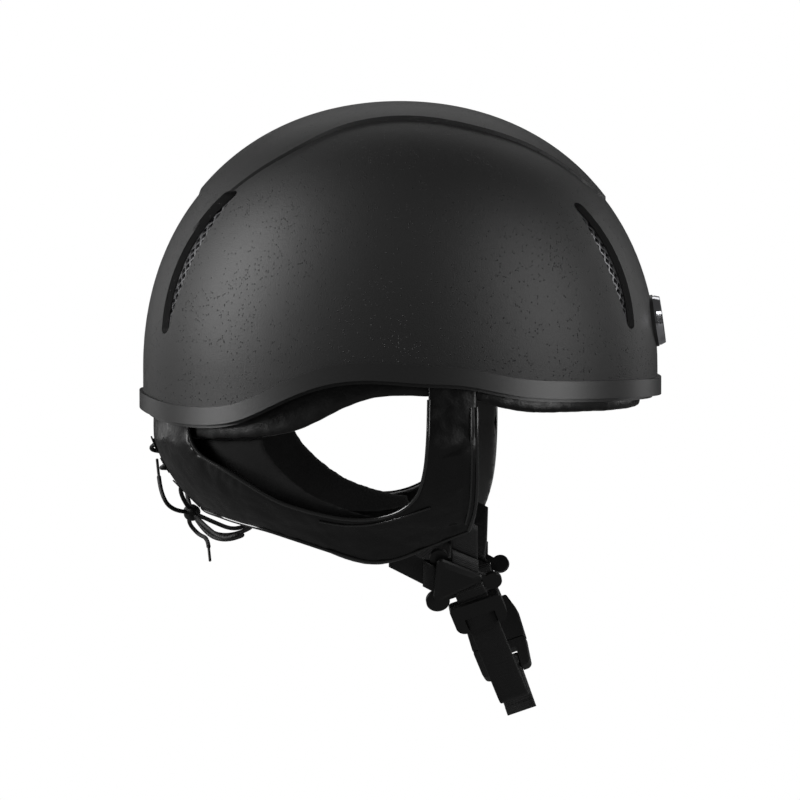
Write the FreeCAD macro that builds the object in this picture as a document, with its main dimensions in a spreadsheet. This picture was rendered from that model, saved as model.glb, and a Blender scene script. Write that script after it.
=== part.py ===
import FreeCAD, Part
import Sketcher
import math
import os

# Jockey skull cap: peakless riding helmet with harness, nape lacing and chin strap.
# Origin at the centre of the head opening, +X forward, +Y to the wearer's left, +Z up.

V = FreeCAD.Vector
os.makedirs("parts", exist_ok=True)
doc = FreeCAD.newDocument("skull_cap")

# Driving dimensions
sheet = doc.addObject("Spreadsheet::Sheet", "Sizes")
sizes = [
    ("half_length", 135.5),
    ("half_width", 110.0),
    ("crown_height", 137.7),
    ("crown_fullness", 0.807),
    ("shell_wall", 3.0),
    ("band_raise", 2.2),
    ("trim_proud", 2.0),
    ("trim_height", 9.0),
    ("trim_flange", 1.8),
    ("trim_web", 1.8),
    ("trim_lip", 2.0),
    ("foam_gap", 0.3),
    ("cavity_half_length", 106.5),
    ("cavity_height", 110.0),
    ("harness_rebate", 9.2),
    ("rebate_height", 26.0),
    ("headband_pad", 6.5),
    ("headband_top", 34.0),
    ("crown_pad", 6.0),
    ("crown_pad_radius", 46.0),
    ("dot_radius", 9.0),
    ("dot_thickness", 1.2),
    ("front_vent_side", 43.5),
    ("front_vent_low", 23.0),
    ("front_vent_high", 88.0),
    ("rear_vent_side", 51.0),
    ("rear_vent_low", 20.0),
    ("rear_vent_high", 94.0),
    ("vent_half_width", 6.0),
    ("vent_end_radius", 3.3),
    ("vent_recess", 6.0),
    ("grille_thickness", 1.0),
    ("grille_pitch", 5.2),
    ("grille_lap", 2.6),
    ("strand", 1.1),
    ("badge_height", 25.0),
    ("badge_radius", 13.0),
    ("badge_disc_radius", 9.6),
    ("badge_ring_height", 3.6),
    ("badge_pin_radius", 2.0),
    ("crown_web_thickness", 1.4),
    ("crown_web_width", 20.0),
    ("crown_web_place", 34.0),
    ("harness_thin", 3.4),
    ("harness_thick", 5.5),
    ("lining_gap", 6.9),
    ("lining_thickness", 3.0),
    ("nape_opening", 18.0),
    ("eyelet_side", 16.0),
    ("eyelet_bore", 2.5),
    ("eyelet_flange", 4.6),
    ("eyelet_first", -40.0),
    ("eyelet_spacing", 11.0),
    ("lace_radius", 1.15),
    ("aglet_radius", 0.75),
    ("aglet_length", 12.0),
    ("knot_radius", 4.6),
    ("webbing_width", 16.0),
    ("webbing_thickness", 1.2),
    ("webbing_clearance", 0.2),
    ("divider_plate", 2.4),
    ("divider_bar", 2.4),
    ("divider_lobe", 4.8),
    ("divider_large_lobe", 6.2),
    ("slider_cover", 8.5),
    ("divider_cap", 2.2),
    ("tab_play", 0.9),
    ("strap_tilt", 19.5),
    ("strap_forward", 39.0),
    ("strap_drop", 113.0),
    ("strap_half_span", 40.0),
    ("loop_depth", 66.0),
    ("curl_radius", 8.0),
    ("slider_width", 28.0),
    ("slider_length", 17.0),
    ("slider_bar", 1.8),
    ("slider_place", 6.5),
    ("socket_width", 29.0),
    ("socket_height", 8.4),
    ("socket_length", 24.0),
    ("socket_place", 20.0),
    ("socket_wall", 1.8),
    ("plug_length", 16.0),
    ("buckle_clearance", 0.3),
    ("prong_length", 13.0),
    ("prong_width", 2.6),
    ("tail_length", 75.0),
]
for row, (alias, value) in enumerate(sizes, 1):
    sheet.set("A%d" % row, alias)
    sheet.set("B%d" % row, str(value))
    sheet.setAlias("B%d" % row, alias)
doc.recompute()


def dim(alias):
    return float(getattr(sheet, alias))


# Drawing helpers
def add_piece(name, shape, placement=None):
    piece = doc.addObject("Part::Feature", name)
    piece.Label = name
    piece.Shape = shape
    if placement:
        piece.Placement = placement
    return piece


def bound_piece(kind, name, **sizes_used):
    """A primitive whose sizes are expressions on the sheet."""
    piece = doc.addObject(kind, name)
    piece.Label = name
    for size, expression in sizes_used.items():
        piece.setExpression(size, expression)
    return piece


def mirror_piece(name, source):
    piece = doc.addObject("Part::Mirroring", name)
    piece.Label = name
    piece.Source = source
    piece.Base = V(0, 0, 0)
    piece.Normal = V(0, 1, 0)
    return piece


def rounded_wire(points, z=0.0):
    """Open wire in the XY plane; each point is (x, y) or (x, y, corner radius)."""
    spots = [V(p[0], p[1], z) for p in points]
    radii = [p[2] if len(p) > 2 else 0.0 for p in points]
    edges = []
    last = spots[0]
    for i in range(1, len(spots) - 1):
        if radii[i] == 0:
            if (spots[i] - last).Length > 1e-6:
                edges.append(Part.makeLine(last, spots[i]))
            last = spots[i]
            continue
        back = (spots[i - 1] - spots[i]).normalize()
        ahead = (spots[i + 1] - spots[i]).normalize()
        half = back.getAngle(ahead) / 2
        reach = radii[i] / math.tan(half)
        first = spots[i] + back * reach
        final = spots[i] + ahead * reach
        centre = spots[i] + (back + ahead).normalize() * (radii[i] / math.sin(half))
        middle = centre + (spots[i] - centre).normalize() * radii[i]
        if (first - last).Length > 1e-6:
            edges.append(Part.makeLine(last, first))
        edges.append(Part.Arc(first, middle, final).toShape())
        last = final
    if (spots[-1] - last).Length > 1e-6:
        edges.append(Part.makeLine(last, spots[-1]))
    return Part.Wire(edges)


def closed_wire(points, z=0.0):
    """Closed wire in the XY plane with rounded corners."""
    start = ((points[0][0] + points[-1][0]) / 2, (points[0][1] + points[-1][1]) / 2)
    return rounded_wire([start] + list(points) + [start], z)


def plate(points, low, high):
    """Flat plate between two levels."""
    return Part.Face(closed_wire(points, low)).extrude(V(0, 0, high - low))


def strip(points, thickness, low, high):
    """Webbing on edge: a path in the XY plane thickened and extruded along Z."""
    outline = rounded_wire(points, low).makeOffset2D(thickness / 2)
    return Part.Face(outline).extrude(V(0, 0, high - low))


def cord(name, points, radius, widest=1000.0):
    """Round cord along straight runs joined by tangent arcs; prints the bend radii."""
    bends = []
    spots = [V(*p) for p in points]
    edges = []
    last = spots[0]
    for i in range(1, len(spots) - 1):
        back = spots[i - 1] - spots[i]
        ahead = spots[i + 1] - spots[i]
        run = min(back.Length, ahead.Length)
        back.normalize()
        ahead.normalize()
        half = back.getAngle(ahead) / 2
        bend = min(0.45 * run * math.tan(half), widest)
        bends.append("%.1f" % bend)
        first = spots[i] + back * (bend / math.tan(half))
        final = spots[i] + ahead * (bend / math.tan(half))
        centre = spots[i] + (back + ahead).normalize() * (bend / math.sin(half))
        middle = centre + (spots[i] - centre).normalize() * bend
        edges.append(Part.makeLine(last, first))
        edges.append(Part.Arc(first, middle, final).toShape())
        last = final
    edges.append(Part.makeLine(last, spots[-1]))
    spine = Part.Wire(edges)
    ring = Part.Wire(Part.makeCircle(radius, spots[0], spots[1] - spots[0]))
    print("%s %.1f mm long, bend radii %s" % (name, spine.Length, " ".join(bends)))
    add_piece(name, spine.makePipeShell([ring], True, False))


def axes_placement(origin, x_axis, y_axis, z_axis):
    return FreeCAD.Placement(origin, FreeCAD.Rotation(x_axis, y_axis, z_axis, "ZXY"))


def origin_plane(body, role):
    return [f for f in body.Origin.OriginFeatures if f.Role == role][0]


def revolved_body(name, outline, placement):
    """Body turned about its own Z axis from an outline of (radius, height) corners."""
    body = doc.addObject("PartDesign::Body", name)
    body.Label = name
    sketch = body.newObject("Sketcher::SketchObject", name + "_profile")
    sketch.AttachmentSupport = [(origin_plane(body, "XZ_Plane"), "")]
    sketch.MapMode = "FlatFace"
    for i in range(len(outline)):
        a = outline[i]
        b = outline[(i + 1) % len(outline)]
        sketch.addGeometry(Part.LineSegment(V(a[0], a[1], 0), V(b[0], b[1], 0)))
    turn = body.newObject("PartDesign::Revolution", name + "_turn")
    turn.Profile = sketch
    turn.ReferenceAxis = (sketch, ["V_Axis"])
    turn.Angle = 360
    body.Placement = placement
    return body


# Head form: every layer of the cap follows it at an offset
half_length = dim("half_length")
half_width = dim("half_width")
crown_height = dim("crown_height")
side_scale = half_width / half_length
floor = -60.0


def crown_curve(a, c):
    curve = Part.BezierCurve()
    curve.setPoles([V(a, 0, 0), V(a, 0, c), V(0, 0, c)])
    curve.setWeight(2, dim("crown_fullness"))
    return curve.toShape()


def narrowed(shape):
    matrix = FreeCAD.Matrix()
    matrix.scale(1, side_scale, 1)
    return shape.transformGeometry(matrix)


def layer(outer, inner):
    """Wall between two head forms, each (half length, height), down to the floor level."""
    ao, co = outer
    ai, ci = inner
    outline = Part.Wire([
        crown_curve(ao, co),
        Part.makeLine(V(0, 0, co), V(0, 0, ci)),
        crown_curve(ai, ci),
        Part.makeLine(V(ai, 0, 0), V(ai, 0, floor)),
        Part.makeLine(V(ai, 0, floor), V(ao, 0, floor)),
        Part.makeLine(V(ao, 0, floor), V(ao, 0, 0)),
    ])
    return narrowed(Part.Face(outline).revolve(V(0, 0, 0), V(0, 0, 1), 360))


def at_offset(offset):
    return (half_length + offset, crown_height + offset)


def side_curve(points, lift):
    curve = Part.BSplineCurve()
    curve.interpolate([V(x, -160, z + lift) for x, z in points])
    return curve.toShape()


def side_block(points, lift, level):
    """Everything between a side-view curve and a level, right across the cap."""
    first = V(points[0][0], -160, points[0][1] + lift)
    final = V(points[-1][0], -160, points[-1][1] + lift)
    outline = Part.Wire([
        side_curve(points, lift),
        Part.makeLine(final, V(final.x, -160, level)),
        Part.makeLine(V(final.x, -160, level), V(first.x, -160, level)),
        Part.makeLine(V(first.x, -160, level), first),
    ])
    return Part.Face(outline).extrude(V(0, 320, 0))


# Lower edge of the trim and of the padding under the rim, seen from the side
rim = [
    (-150, -17.0), (-118, -24.3), (-98, -25.2), (-78, -22.2), (-55, -12.0), (-33, -3.2), (-12, 0.0),
    (20, -1.6), (40, -2.8), (66, -8.2), (90, -10.6), (115, -11.6), (150, -15.5),
]
padding_edge = [
    (-150, -25.0), (-118, -32.5), (-98, -33.8), (-70, -31.6), (-44, -26.0), (-24, -16.0), (-3, -9.0),
    (20, -8.8), (42, -10.5), (62, -16.2), (90, -18.6), (115, -19.4), (150, -20.5),
]
high = 200.0
low = -200.0


def above_rim(lift):
    return side_block(rim, lift, high)


def below_rim(lift):
    return side_block(rim, lift, low)


# Outer shell with the raised crown band
shell_wall = dim("shell_wall")
trim_web = dim("trim_web")
shell_form = layer(at_offset(0), at_offset(-shell_wall)).common(above_rim(trim_web))
band_side = [
    (-104, 45.0), (-88, 49.5), (-70, 51.5), (-50, 50.5), (-30, 44.5), (-10, 40.0), (15, 37.5),
    (40, 36.0), (60, 31.7), (80, 25.5), (96, 20.0),
]
band_left = Part.BSplineCurve()
band_left.interpolate([V(x, y, 0) for x, y in band_side])
band_right = Part.BSplineCurve()
band_right.interpolate([V(x, -y, 0) for x, y in band_side])
tail_x, tail_y = band_side[0]
nose_x, nose_y = band_side[-1]
band_outline = Part.Wire([
    band_left.toShape(),
    Part.Arc(V(nose_x, nose_y, 0), V(nose_x + 12, 0, 0), V(nose_x, -nose_y, 0)).toShape(),
    band_right.toShape(),
    Part.makeLine(V(tail_x, -tail_y, 0), V(tail_x, tail_y, 0)),
])
band_block = Part.Face(band_outline).extrude(V(0, 0, high))
band_top = (half_length + 0.4, crown_height + dim("band_raise"))
band = layer(band_top, at_offset(-1.0)).common(band_block)
shell_shape = shell_form.fuse(band)

# Vent slots, drawn looking along X
front_vent = (dim("front_vent_side"), dim("front_vent_low"), dim("front_vent_high"), 1)
rear_vent = (dim("rear_vent_side"), dim("rear_vent_low"), dim("rear_vent_high"), -1)


def vent_wire(vent, side, grow):
    """Slot outline with a wider middle, on the plane X = 0."""
    across, bottom, top, front = vent
    y = across * side
    wide = dim("vent_half_width") + grow
    end = dim("vent_end_radius") + grow
    bottom = bottom - grow
    top = top + grow
    middle = (bottom + top) / 2
    return Part.Wire([
        Part.Arc(V(0, y - end, top - end), V(0, y - wide, middle), V(0, y - end, bottom + end)).toShape(),
        Part.Arc(V(0, y - end, bottom + end), V(0, y, bottom), V(0, y + end, bottom + end)).toShape(),
        Part.Arc(V(0, y + end, bottom + end), V(0, y + wide, middle), V(0, y + end, top - end)).toShape(),
        Part.Arc(V(0, y + end, top - end), V(0, y, top), V(0, y - end, top - end)).toShape(),
    ])


def vent_block(vent, side, grow):
    block = Part.Face(vent_wire(vent, side, grow)).extrude(V(vent[3] * 120, 0, 0))
    block.translate(V(vent[3] * 40, 0, 0))
    return block


vents = [(front_vent, -1), (front_vent, 1), (rear_vent, -1), (rear_vent, 1)]
for vent, side in vents:
    shell_shape = shell_shape.cut(vent_block(vent, side, 0))

# Badge seat on the brow: a point of the head form and its outward normal
badge_z = dim("badge_height")


def brow_x(z):
    weight = dim("crown_fullness")
    low_t = 0.0
    high_t = 1.0
    for step in range(60):
        t = (low_t + high_t) / 2
        share = (1 - t) ** 2 + 2 * weight * t * (1 - t) + t * t
        height = (2 * weight * t * (1 - t) + t * t) / share * crown_height
        if height < z:
            low_t = t
        else:
            high_t = t
    return ((1 - t) ** 2 + 2 * weight * t * (1 - t)) / share * half_length


badge_x = brow_x(badge_z)
lean = math.atan2(brow_x(badge_z - 2) - brow_x(badge_z + 2), 4.0)
badge_axis = V(math.cos(lean), 0, math.sin(lean))
badge_place = axes_placement(V(badge_x, 0, badge_z), V(0, 1, 0), V(-math.sin(lean), 0, math.cos(lean)), badge_axis)
pin_radius = dim("badge_pin_radius")
pin_hole = Part.makeCylinder(pin_radius + 0.2, 24, V(badge_x, 0, badge_z) - badge_axis * 14, badge_axis)
shell_shape = shell_shape.cut(pin_hole)
add_piece("outer_shell", shell_shape)

# Rubber trim pushed over the shell's edge
trim_flange = dim("trim_flange")
trim_inside = -(shell_wall + trim_flange)
trim_form = layer(at_offset(dim("trim_proud")), at_offset(trim_inside))
trim_band = trim_form.common(above_rim(0)).common(below_rim(dim("trim_height")))
edge_space = layer(at_offset(0), at_offset(-shell_wall)).common(above_rim(trim_web))
trim_shape = trim_band.cut(edge_space)
lip_form = layer(at_offset(-shell_wall + 0.4), at_offset(trim_inside))
trim_shape = trim_shape.fuse(lip_form.common(above_rim(-dim("trim_lip"))).common(below_rim(0)))
add_piece("edge_trim", trim_shape)

# Impact liner bonded inside the shell
foam_gap = dim("foam_gap")
cavity = (dim("cavity_half_length"), dim("cavity_height"))
liner_outside = -(shell_wall + foam_gap)
rebate = dim("harness_rebate")
liner = layer(at_offset(liner_outside), cavity).common(above_rim(trim_web))
liner = liner.cut(layer(at_offset(10), at_offset(-rebate)).common(below_rim(dim("rebate_height"))))
recess = dim("vent_recess")
skin = layer(at_offset(10), at_offset(liner_outside - recess))
for vent, side in vents:
    liner = liner.cut(vent_block(vent, side, dim("grille_lap") + 0.4).common(skin))
    liner = liner.cut(vent_block(vent, side, -1.2))
web_place = dim("crown_web_place")
web_half = dim("crown_web_width") / 2
web_outside = -(shell_wall + foam_gap + 0.1)
web_inside = web_outside - dim("crown_web_thickness")
groove = Part.makeBox(2 * web_half + 0.8, 320, 200, V(web_place - web_half - 0.4, -160, 0))
liner = liner.cut(layer(at_offset(10), at_offset(web_inside - 0.3)).common(groove))
nut_hole = Part.makeCylinder(7.0, 11.5, V(badge_x, 0, badge_z) - badge_axis * 10.5, badge_axis)
liner = liner.cut(nut_hole)
add_piece("impact_liner", liner)

# Webbing over the liner that ties the two front straps together
web_slab = Part.makeBox(2 * web_half, 320, 200, V(web_place - web_half, -160, dim("trim_height") + 1.0))
add_piece("crown_webbing", layer(at_offset(web_outside), at_offset(web_inside)).common(web_slab))

# Comfort pads inside the cavity
pad_gap = 0.3
head_pad = dim("headband_pad")
pad_outer = (cavity[0] - pad_gap, cavity[1] - pad_gap)
pad_inner = (cavity[0] - pad_gap - head_pad, cavity[1] - pad_gap - head_pad)
pad_limit = Part.makeBox(300, 300, 100, V(-150, -150, -66 + dim("headband_top") - 34.0))
headband = layer(pad_outer, pad_inner).common(above_rim(trim_web + 0.4)).common(pad_limit)
add_piece("headband_pad", headband)

dot_thickness = dim("dot_thickness")
crown_outer = (cavity[0] - dot_thickness - 0.2, cavity[1] - dot_thickness - 0.2)
crown_inner = (crown_outer[0] - dim("crown_pad"), crown_outer[1] - dim("crown_pad"))
pad_disc = Part.makeCylinder(dim("crown_pad_radius"), 200)
add_piece("crown_pad", layer(crown_outer, crown_inner).common(pad_disc))
dot_wall = layer((cavity[0] - 0.1, cavity[1] - 0.1), (cavity[0] - 0.1 - dot_thickness, cavity[1] - 0.1 - dot_thickness))
dots = []
for i in range(4):
    turn = math.radians(45 + 90 * i)
    reach = dim("crown_pad_radius") * 0.6
    spot = V(reach * math.cos(turn), reach * math.sin(turn), 0)
    dots.append(dot_wall.common(Part.makeCylinder(dim("dot_radius"), 200, spot)))
add_piece("hook_loop_dots", Part.makeCompound(dots))

# Padded roll under the liner
roll_inner = (pad_inner[0] + 0.5, pad_inner[1])
roll = layer(at_offset(-rebate), roll_inner).common(side_block(padding_edge, 0, high))
add_piece("rim_padding", roll.common(below_rim(trim_web - 0.1)))

# Metal mesh behind each vent
grille_outside = liner_outside - 0.1
grille_wall = layer(at_offset(grille_outside), at_offset(grille_outside - dim("grille_thickness")))
pitch = dim("grille_pitch")
strand = dim("strand")


def grille(vent, side):
    across, bottom, top, front = vent
    outline = vent_wire(vent, side, dim("grille_lap"))
    holes = []
    high_gap = pitch / 2 - strand * 0.6
    wide_gap = pitch * 0.4 - strand * 0.5
    rows = int((top - bottom) / (pitch / 2)) - 1
    for row in range(rows):
        z = bottom + (row + 1) * pitch / 2 + 1.0
        if row % 2:
            places = [-1.0, 0.0, 1.0]
        else:
            places = [-0.5, 0.5]
        for place in places:
            y = across * side + place * pitch * 0.8
            reach = abs(place) * pitch * 0.8 + wide_gap
            share = (z - (bottom + top) / 2) / ((top - bottom) / 2)
            if reach > (dim("vent_half_width") + 1.6) * (1 - 0.42 * share * share):
                continue
            corners = [V(0, y, z - high_gap), V(0, y + wide_gap, z), V(0, y, z + high_gap), V(0, y - wide_gap, z)]
            holes.append(Part.Wire(Part.makePolygon(corners + corners[:1])))
    net = Part.Face(outline)
    net = net.cut(Part.makeCompound([Part.Face(hole) for hole in holes]))
    block = net.extrude(V(front * 120, 0, 0))
    block.translate(V(front * 40, 0, 0))
    return grille_wall.common(block)


add_piece("vent_grille_front_right", grille(front_vent, -1))
add_piece("vent_grille_front_left", grille(front_vent, 1))
add_piece("vent_grille_rear_right", grille(rear_vent, -1))
add_piece("vent_grille_rear_left", grille(rear_vent, 1))

# Plain round badge on the brow
ring_radius = dim("badge_radius")
disc_radius = dim("badge_disc_radius")
ring_height = dim("badge_ring_height")
gasket = Part.makeCylinder(ring_radius + 0.6, 4.0, V(0, 0, -3.2))
gasket = gasket.cut(Part.makeCylinder(pin_radius + 0.2, 10, V(0, 0, -6)))
gasket.Placement = badge_place
add_piece("badge_gasket", gasket.cut(layer(at_offset(0), at_offset(-20))))
seat = 0.8
revolved_body("badge_ring", [
    (disc_radius + 0.1, seat), (ring_radius, seat), (ring_radius, seat + 1.2), (ring_radius - 0.9, seat + ring_height),
    (disc_radius + 1.4, seat + ring_height), (disc_radius + 0.1, seat + ring_height - 1.4),
], badge_place)
revolved_body("badge_disc", [
    (0, seat), (disc_radius, seat), (disc_radius, seat + 1.4), (disc_radius * 0.7, seat + 2.0),
    (disc_radius * 0.35, seat + 2.35), (0, seat + 2.45),
], badge_place)
pin_depth = 10.0
pin = bound_piece("Part::Cylinder", "badge_pin", Radius="Sizes.badge_pin_radius")
pin.Height = pin_depth + seat
pin.Placement = badge_place.multiply(FreeCAD.Placement(V(0, 0, -pin_depth), FreeCAD.Rotation()))
revolved_body("badge_nut", [
    (pin_radius + 0.1, -7.6), (6.0, -7.6), (6.0, -6.4), (3.6, -6.4), (3.6, -3.6), (pin_radius + 0.1, -3.6),
], badge_place)

# Harness: drapes below the rim on a cup of ellipses (level, half length, half width, share of padding)
harness_top = -(shell_wall + trim_flange + 0.5)
top_length = half_length + harness_top
top_width = top_length * side_scale
cup_sections = [
    (-118, 66.0, 42.0, 1.0), (-106, 72.0, 49.0, 1.0), (-92, 86.0, 61.0, 1.0), (-76, 103.0, 77.0, 1.0),
    (-60, 118.8, 92.0, 1.0), (-46, 127.0, 100.8, 1.0), (-40, 129.4, 104.0, 0.5), (-35, top_length, top_width, 0.0),
]
drape_top = cup_sections[-1][0]
thin = dim("harness_thin")
thick = dim("harness_thick")


def cup(depth, padded, sections):
    rings = []
    for z, a, b, share in sections:
        wall = thin + (thick - thin) * share if padded else 0.0
        narrow = wall * (1.0 - (1.0 - side_scale) * (1.0 - share))
        oval = Part.Ellipse(V(a - wall - depth, 0, z), V(0, b - narrow - depth, z), V(0, 0, z))
        rings.append(Part.Wire([oval.toShape()]))
    return Part.makeLoft(rings, True, False)


def cup_at(z):
    """Half length and half width of the harness face at a level, and the outward lean."""
    for i in range(len(cup_sections) - 1):
        z0, a0, b0, s0 = cup_sections[i]
        z1, a1, b1, s1 = cup_sections[i + 1]
        if z0 <= z <= z1:
            share = (z - z0) / (z1 - z0)
            return a0 + (a1 - a0) * share, b0 + (b1 - b0) * share, math.atan2(a1 - a0, z1 - z0)


def spline(points):
    curve = Part.BSplineCurve()
    curve.interpolate([V(x, 0, z) for x, z in points])
    return curve.toShape()


def polyline(points):
    return [Part.makeLine(V(a[0], 0, a[1]), V(b[0], 0, b[1])) for a, b in zip(points, points[1:])]


front_edge = [(46.6, -20.0), (46.6, -46.0), (45.0, -68.0), (41.0, -81.0)]
bottom_edge = [(41.0, -81.0), (20.0, -89.3), (2.0, -97.4), (-12.0, -99.2), (-40.0, -90.4), (-66.0, -82.4), (-96.0, -77.6)]
ear_edge = [
    (-105.0, -29.0), (-99.0, -41.5), (-88.0, -46.5), (-74.0, -54.0), (-61.0, -62.5), (-43.0, -68.8), (-24.0, -72.8),
    (-8.0, -72.8), (6.0, -68.2), (15.2, -59.5), (19.2, -45.0), (20.6, -30.0), (21.0, -8.0),
]
harness_outline = Part.Wire(
    polyline([(21.0, -8.0), (21.0, 15.0), (46.6, 15.0), (46.6, -20.0)])
    + [spline(front_edge), spline(bottom_edge)]
    + polyline([(-96.0, -77.6), (-150.0, -74.0), (-150.0, -9.0), (-105.0, -9.0), (-105.0, -29.0)])
    + [spline(ear_edge)]
)
nape_half = dim("nape_opening") / 2
harness_block = Part.Face(harness_outline).extrude(V(0, -140, 0))
harness_block.translate(V(0, -nape_half, 0))
harness_wall = cup(0, False, cup_sections).cut(cup(0, True, cup_sections))
upper_block = Part.makeBox(400, 400, 100, V(-200, -200, drape_top))
harness_wall = harness_wall.fuse(layer(at_offset(harness_top), at_offset(harness_top - thin)).common(upper_block))
harness_right = harness_wall.common(harness_block)

# Eyelets in the two nape edges
eyelet_side = dim("eyelet_side")
rows = [dim("eyelet_first") - i * dim("eyelet_spacing") for i in range(3)]


def nape_spot(z, y):
    a, b, slope = cup_at(z)
    point = V(-a * math.sqrt(1 - (y / b) ** 2), y, z)
    normal = V(point.x / (a * a), point.y / (b * b), 0).normalize()
    normal = (normal * math.cos(slope) - V(0, 0, math.sin(slope))).normalize()
    return point, normal


def wall_at(z):
    share = 1.0 if z < -46 else max(0.0, (-35 - z) / 11.0)
    return thin + (thick - thin) * share


eyelets = []
bore = dim("eyelet_bore")
flange = dim("eyelet_flange")
for z in rows:
    point, normal = nape_spot(z, -eyelet_side)
    depth = wall_at(z)
    harness_right = harness_right.cut(Part.makeCylinder(bore + 0.7, 16, point + normal * 4, normal * -1))
    harness_right = harness_right.cut(Part.makeCylinder(flange + 0.2, 4, point + normal * 0.05, normal))
    ring = Part.makeCylinder(flange, 0.7, point + normal * 0.15, normal)
    ring = ring.fuse(Part.makeCylinder(bore + 0.5, depth + 1.0, point + normal * 0.2, normal * -1))
    ring = ring.cut(Part.makeCylinder(bore, 16, point + normal * 4, normal * -1))
    eyelets.append(ring)
    eyelets.append(ring.mirror(V(0, 0, 0), V(0, 1, 0)))
right = add_piece("harness_right", harness_right)
mirror_piece("harness_left", right)
add_piece("nape_eyelets", Part.makeCompound(eyelets))

# Soft lining inside the nape, standing clear of the lacing
lining_gap = dim("lining_gap")
lining_sections = cup_sections + [(-18, top_length, top_width, 0.0)]
lining_wall = cup(lining_gap, True, lining_sections).cut(cup(lining_gap + dim("lining_thickness"), True, lining_sections))
lining_front = [(-64.0, -36.0), (-60.0, -43.0), (-50.0, -54.0), (-38.0, -62.5), (-24.0, -68.5), (-12.0, -72.0), (0.0, -73.5)]
lining_outline = Part.Wire(
    [spline(lining_front)]
    + polyline([(0.0, -73.5), (2.0, -78.0)])
    + [spline([(2.0, -78.0), (-20.0, -82.0), (-50.0, -79.0), (-96.0, -74.5)])]
    + polyline([(-96.0, -74.5), (-150.0, -71.0), (-150.0, -20.0), (-64.0, -20.0), (-64.0, -36.0)])
)
lining_block = Part.Face(lining_outline).extrude(V(0, 320, 0))
lining_block.translate(V(0, -160, 0))
lining = lining_wall.common(lining_block).common(side_block(padding_edge, -0.3, low))
add_piece("nape_lining", lining)

# Lace, crossed through the eyelets and tied below them
lace_radius = dim("lace_radius")


def lace_spot(row, side, level):
    point, normal = nape_spot(rows[row], side * eyelet_side)
    return tuple(point + normal * level)


over = lace_radius + 1.6
under = -(thick + lace_radius + 0.9)


def crossing(first, final, side, lift):
    """Points where the lace passes over one nape edge and then under the other."""
    points = []
    for share, way, level in ((0.2, side, over), (0.8, -side, under)):
        z = rows[first] + (rows[final] - rows[first]) * share + lift
        point, normal = nape_spot(z, way * (nape_half + 0.4))
        points.append(tuple(point + normal * level))
    return points


# Knot below the eyelets; every lace end meets its face square on
knot = V(-110.5, 0, -77.5)
knot_radius = dim("knot_radius")
knot_half = V(0.95 * knot_radius, 1.15 * knot_radius, 0.95 * knot_radius)
knot_piece = bound_piece(
    "Part::Ellipsoid", "lace_knot",
    Radius1="0.95 * Sizes.knot_radius", Radius2="0.95 * Sizes.knot_radius", Radius3="1.15 * Sizes.knot_radius",
)
knot_piece.Placement = FreeCAD.Placement(knot, FreeCAD.Rotation())


def knot_face(point):
    """The spot on the knot facing a point."""
    way = V(*point) - knot
    length = math.sqrt((way.x / knot_half.x) ** 2 + (way.y / knot_half.y) ** 2 + (way.z / knot_half.z) ** 2)
    return tuple(knot + way * (1 / length) + way.normalize() * 0.1)


lace_path = [knot_face(lace_spot(2, -1, over)), lace_spot(2, -1, over), lace_spot(2, -1, under)]
lace_path += crossing(1, 2, 1, -1.2)[::-1] + [lace_spot(1, 1, over), lace_spot(1, 1, under)]
lace_path += crossing(0, 1, -1, -1.2)[::-1] + [lace_spot(0, -1, over), lace_spot(0, -1, under)]
lace_path += [lace_spot(0, 1, under), lace_spot(0, 1, over)] + crossing(0, 1, 1, 1.2)
lace_path += [lace_spot(1, -1, under), lace_spot(1, -1, over)] + crossing(1, 2, -1, 1.2)
lace_path += [lace_spot(2, 1, under), lace_spot(2, 1, over), knot_face(lace_spot(2, 1, over))]
cord("nape_lace", lace_path, lace_radius, 2.4)

loop_right = [
    (-102.5, -5.2, -88.5), (-92.0, -12.5, -91.5), (-80.5, -20.5, -87.5),
    (-82.0, -30.0, -86.0), (-91.0, -26.0, -89.5), (-101.0, -15.5, -84.0),
]
loop_right = [knot_face(loop_right[0])] + loop_right + [knot_face(loop_right[-1])]
loop_left = [(x, -y, z) for x, y, z in loop_right]
cord("lace_loop_right", loop_right, lace_radius)
cord("lace_loop_left", loop_left, lace_radius)
end_upper = [(-119.5, -13.5, -75.5), (-125.0, -16.5, -66.5), (-127.0, -8.0, -58.0)]
end_upper = [knot_face(end_upper[0])] + end_upper
end_lower = [(-114.5, 13.0, -83.5), (-109.0, 16.5, -91.0), (-103.0, 8.0, -92.0), (-101.8, 1.5, -96.0)]
end_lower = [knot_face(end_lower[0])] + end_lower
cord("lace_end_upper", end_upper, lace_radius)
cord("lace_end_lower", end_lower, lace_radius)


def aglet(name, path):
    """Sleeve on the tip of a lace end."""
    tip = V(*path[-1])
    way = (tip - V(*path[-2])).normalize()
    sleeve = bound_piece("Part::Cylinder", name, Radius="Sizes.aglet_radius", Height="Sizes.aglet_length")
    sleeve.Placement = FreeCAD.Placement(tip + way * 0.05, FreeCAD.Rotation(V(0, 0, 1), way))


aglet("aglet_upper", end_upper)
aglet("aglet_lower", end_lower)

# Chin strap frames: the loop hangs in a tilted plane, each side leaning inwards
tilt = math.radians(dim("strap_tilt"))
down = V(math.sin(tilt), 0, -math.cos(tilt))
across = V(math.cos(tilt), 0, math.sin(tilt))
strap_origin = V(dim("strap_forward"), 0, -dim("strap_drop"))
half_span = dim("strap_half_span")
curl = dim("curl_radius")
web_width = dim("webbing_width")
web_thick = dim("webbing_thickness")
curl_level = dim("loop_depth") - curl - web_thick / 2
reach = math.hypot(half_span, curl_level)
inward = math.atan2(half_span, curl_level) - math.asin(curl / reach)
rise = down * -math.cos(inward) + V(0, -1, 0) * math.sin(inward)
outward = across.cross(rise)
side_place = axes_placement(strap_origin + V(0, -half_span, 0), across, rise, outward)

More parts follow.
